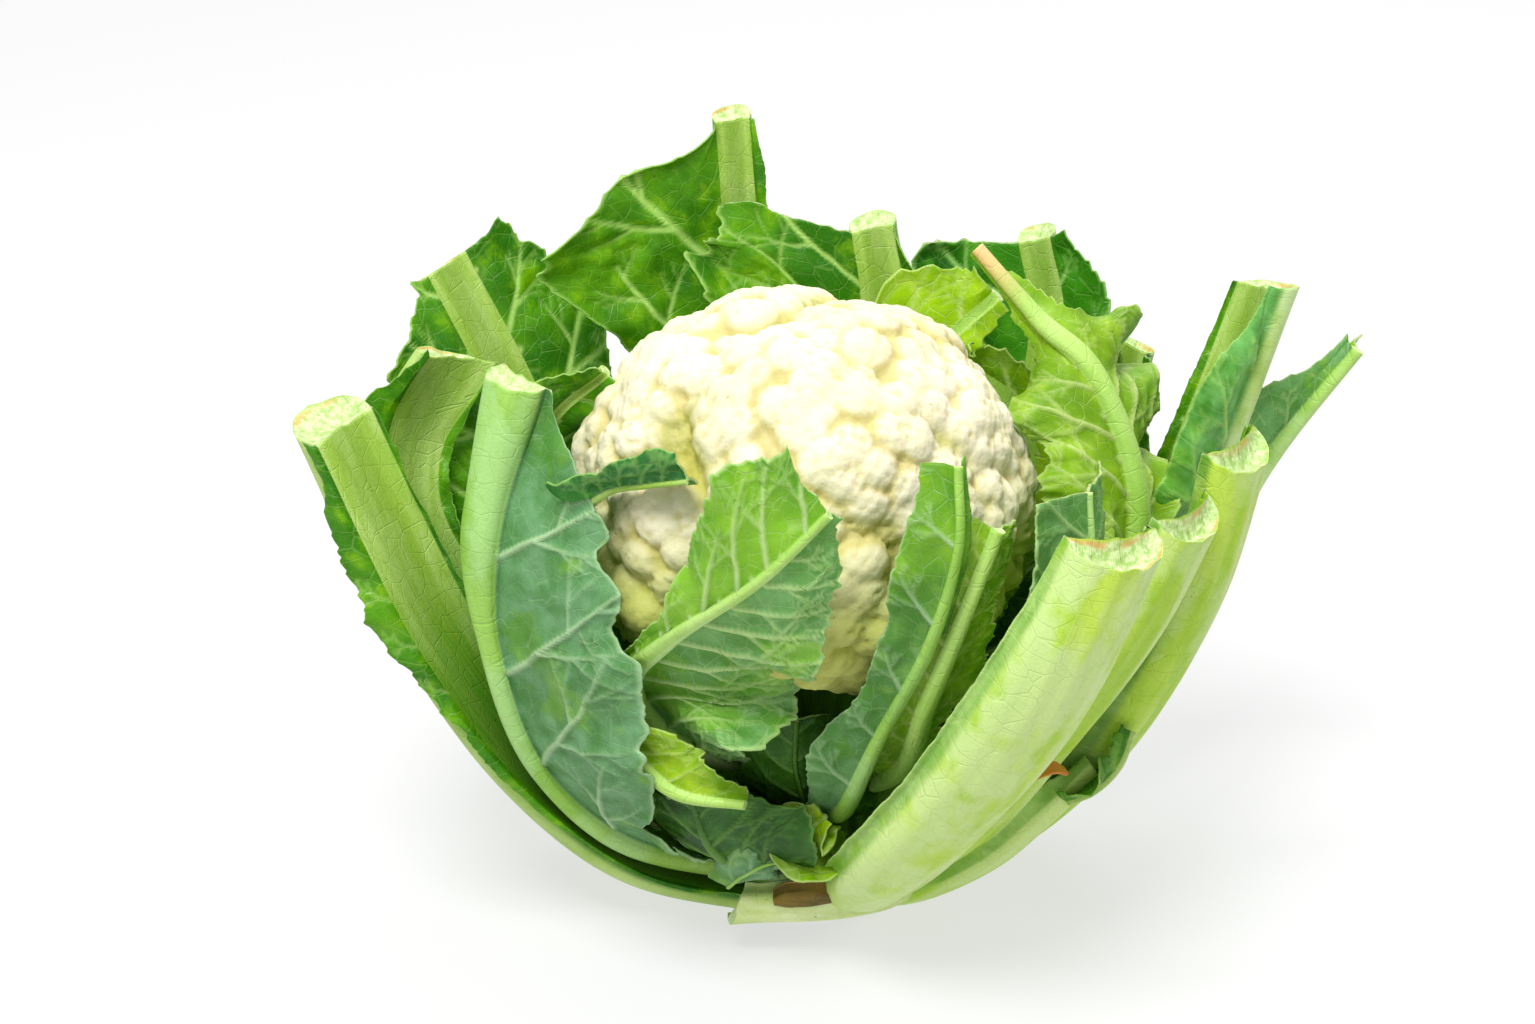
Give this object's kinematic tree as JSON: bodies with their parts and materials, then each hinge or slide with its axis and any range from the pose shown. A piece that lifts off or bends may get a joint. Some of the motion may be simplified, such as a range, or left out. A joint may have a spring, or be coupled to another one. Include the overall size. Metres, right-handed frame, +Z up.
{
  "type": "cauliflower",
  "caption": "Fresh cauliflower: a domed curd on a thick stem, wrapped in a basket of trimmed leaves with stout ribs and thin blades.",
  "frame": {"origin": "centre of the stem's cut foot, on the surface the plant stands on", "axes": "+Z up through the curd, +X towards the plant's right, along its longest spread, -Y towards its front"},
  "size_m": [0.3479, 0.2459, 0.2447],
  "materials": {
    "curd": "matt cream curd of small beads, olive in its creases",
    "stem": "pale green stem, off-white where cut",
    "pale_rib": "satin pale green leaf rib with faint lines",
    "green_leaf": "satin mid-green leaf with pale veins",
    "waxy_leaf": "matt blue-green leaf with a waxy bloom and pale veins",
    "young_leaf": "satin yellow-green young leaf with pale veins"
  },
  "bodies": {
    "root": {"curd": "curd", "stem": "stem", "leaf_stub": "pale_rib", "leaf_front_right": "pale_rib", "leaf_outer_left": "green_leaf", "leaf_front_left": "waxy_leaf", "leaf_front_small": "young_leaf", "leaf_front_middle": "waxy_leaf", "leaf_left": "green_leaf", "leaf_rear_left": "green_leaf", "leaf_tall_back": "green_leaf", "leaf_young_right": "young_leaf", "leaf_right_bottom": "pale_rib", "leaf_right": "green_leaf", "leaf_right_middle": "pale_rib", "leaf_right_lower": "pale_rib", "leaf_back_right": "green_leaf", "leaf_rear_right": "green_leaf", "leaf_young_top": "young_leaf", "leaf_outer_right": "waxy_leaf", "leaf_inner_right": "waxy_leaf", "leaf_young_front": "young_leaf", "leaf_front_low": "young_leaf", "leaf_front_bottom": "green_leaf", "leaf_inner_left": "green_leaf", "leaf_inner_back_left": "young_leaf", "leaf_inner_back_right": "young_leaf", "leaf_hidden_left": "green_leaf", "leaf_hidden_right": "green_leaf"}
  },
  "joints": []
}
